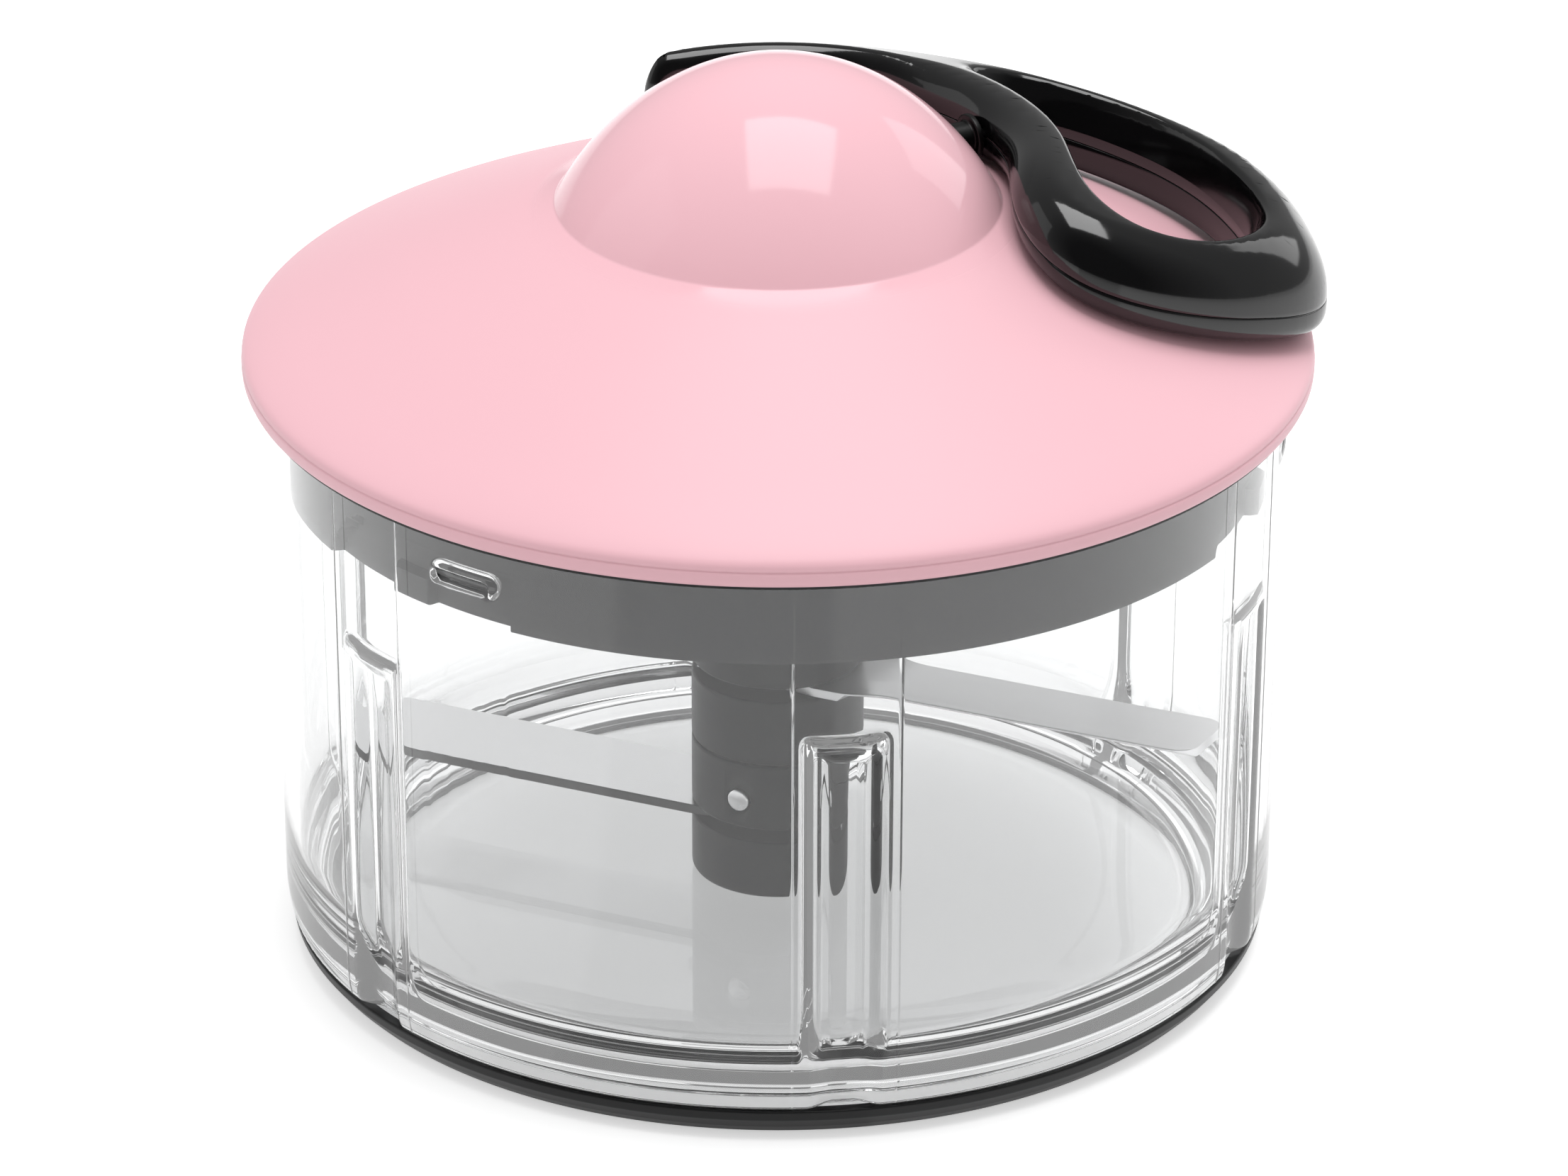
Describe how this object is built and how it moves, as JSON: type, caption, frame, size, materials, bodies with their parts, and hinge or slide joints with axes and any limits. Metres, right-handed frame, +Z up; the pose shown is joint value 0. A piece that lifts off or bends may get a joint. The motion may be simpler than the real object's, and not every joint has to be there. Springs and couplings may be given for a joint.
{
  "type": "food chopper",
  "caption": "Pull cord food chopper: clear ribbed bowl on a non slip ring, twin blades on a turning shaft, and a domed lid with a cord reel and a loop handle.",
  "frame": {"origin": "middle of the underside of the non slip ring, on the axis of the bowl and the blades", "axes": "+Z up along the axis of the bowl, -Y towards the picture's camera, +X to its right, where the handle's loop points"},
  "size_m": [0.1337, 0.132, 0.1147],
  "materials": {
    "clear_plastic": "clear, polished",
    "black_rubber": "matt",
    "pink_plastic": "glossy",
    "grey_plastic": "fine satin",
    "dark_plastic": "satin",
    "black_gloss_plastic": "glossy",
    "white_plastic": "satin",
    "steel": "polished",
    "brass": "sintered",
    "black_cord": "braided"
  },
  "bodies": {
    "bowl": {"bowl": "clear_plastic", "non_slip_base": "black_rubber", "bowl_pivot_pin": "steel"},
    "blade_unit": {"foot_collar": "dark_plastic", "lower_blade": "steel", "lower_collar": "dark_plastic", "middle_collar": "dark_plastic", "upper_blade": "steel", "shaft_top": "dark_plastic", "blade_core": "steel", "collar_pin": "steel"},
    "lid": {"lid_base": "grey_plastic", "lid_shell": "pink_plastic", "lid_screw_1": "steel", "lid_screw_2": "steel", "lid_screw_3": "steel", "cord_eyelet": "steel", "spring_cup": "white_plastic", "return_spring": "steel", "reel_axle": "steel", "hub_bushing": "brass"},
    "cord_reel": {"cord_spool": "white_plastic", "cord_winding": "black_cord", "ratchet_wheel": "white_plastic"},
    "drive_hub": {"drive_hub": "grey_plastic", "hub_clip": "steel"},
    "pawl_1": {"pawl_1": "steel"},
    "pawl_2": {"pawl_2": "steel"},
    "handle": {"handle_top": "black_gloss_plastic", "handle_bottom": "black_gloss_plastic", "cord_knot": "black_cord", "pull_cord": "black_cord"}
  },
  "joints": [
    {"name": "lid_lift", "type": "slide", "parent": "bowl", "child": "lid", "axis": [0, 0, 1], "range_m": [0, 0.09]},
    {"name": "handle_pull", "type": "slide", "parent": "lid", "child": "handle", "axis": [0.866, 0.5, 0], "range_m": [0, 0.36], "stiffness_N_per_m": 12, "springref_m": -0.12, "deforming": ["pull_cord"]},
    {"name": "spool_spin", "type": "hinge", "parent": "lid", "child": "cord_reel", "pos_m": [0, 0, 0.0998], "axis": [0, 0, 1], "range_deg": [0, 1612], "deforming": ["return_spring"]},
    {"name": "hub_spin", "type": "hinge", "parent": "lid", "child": "drive_hub", "pos_m": [0, 0, 0.0793], "axis": [0, 0, 1], "range_deg": [0, 1612]},
    {"name": "blade_spin", "type": "hinge", "parent": "bowl", "child": "blade_unit", "pos_m": [0, 0, 0.0066], "axis": [0, 0, 1], "range_deg": [0, 1612]},
    {"name": "pawl_1_swing", "type": "hinge", "parent": "drive_hub", "child": "pawl_1", "pos_m": [0.00948, 0.00066, 0.0819], "axis": [0, 0, -1], "range_deg": [0, 10], "stiffness_Nm_per_rad": 0.002, "springref_deg": -8.59},
    {"name": "pawl_2_swing", "type": "hinge", "parent": "drive_hub", "child": "pawl_2", "pos_m": [-0.00948, -0.00066, 0.0819], "axis": [0, 0, -1], "range_deg": [0, 10], "stiffness_Nm_per_rad": 0.002, "springref_deg": -8.59}
  ],
  "couplings": [
    {"joint": "spool_spin", "follows": "handle_pull", "rad_per_m": 78},
    {"joint": "hub_spin", "follows": "handle_pull", "rad_per_m": 78},
    {"joint": "blade_spin", "follows": "handle_pull", "rad_per_m": 78}
  ]
}
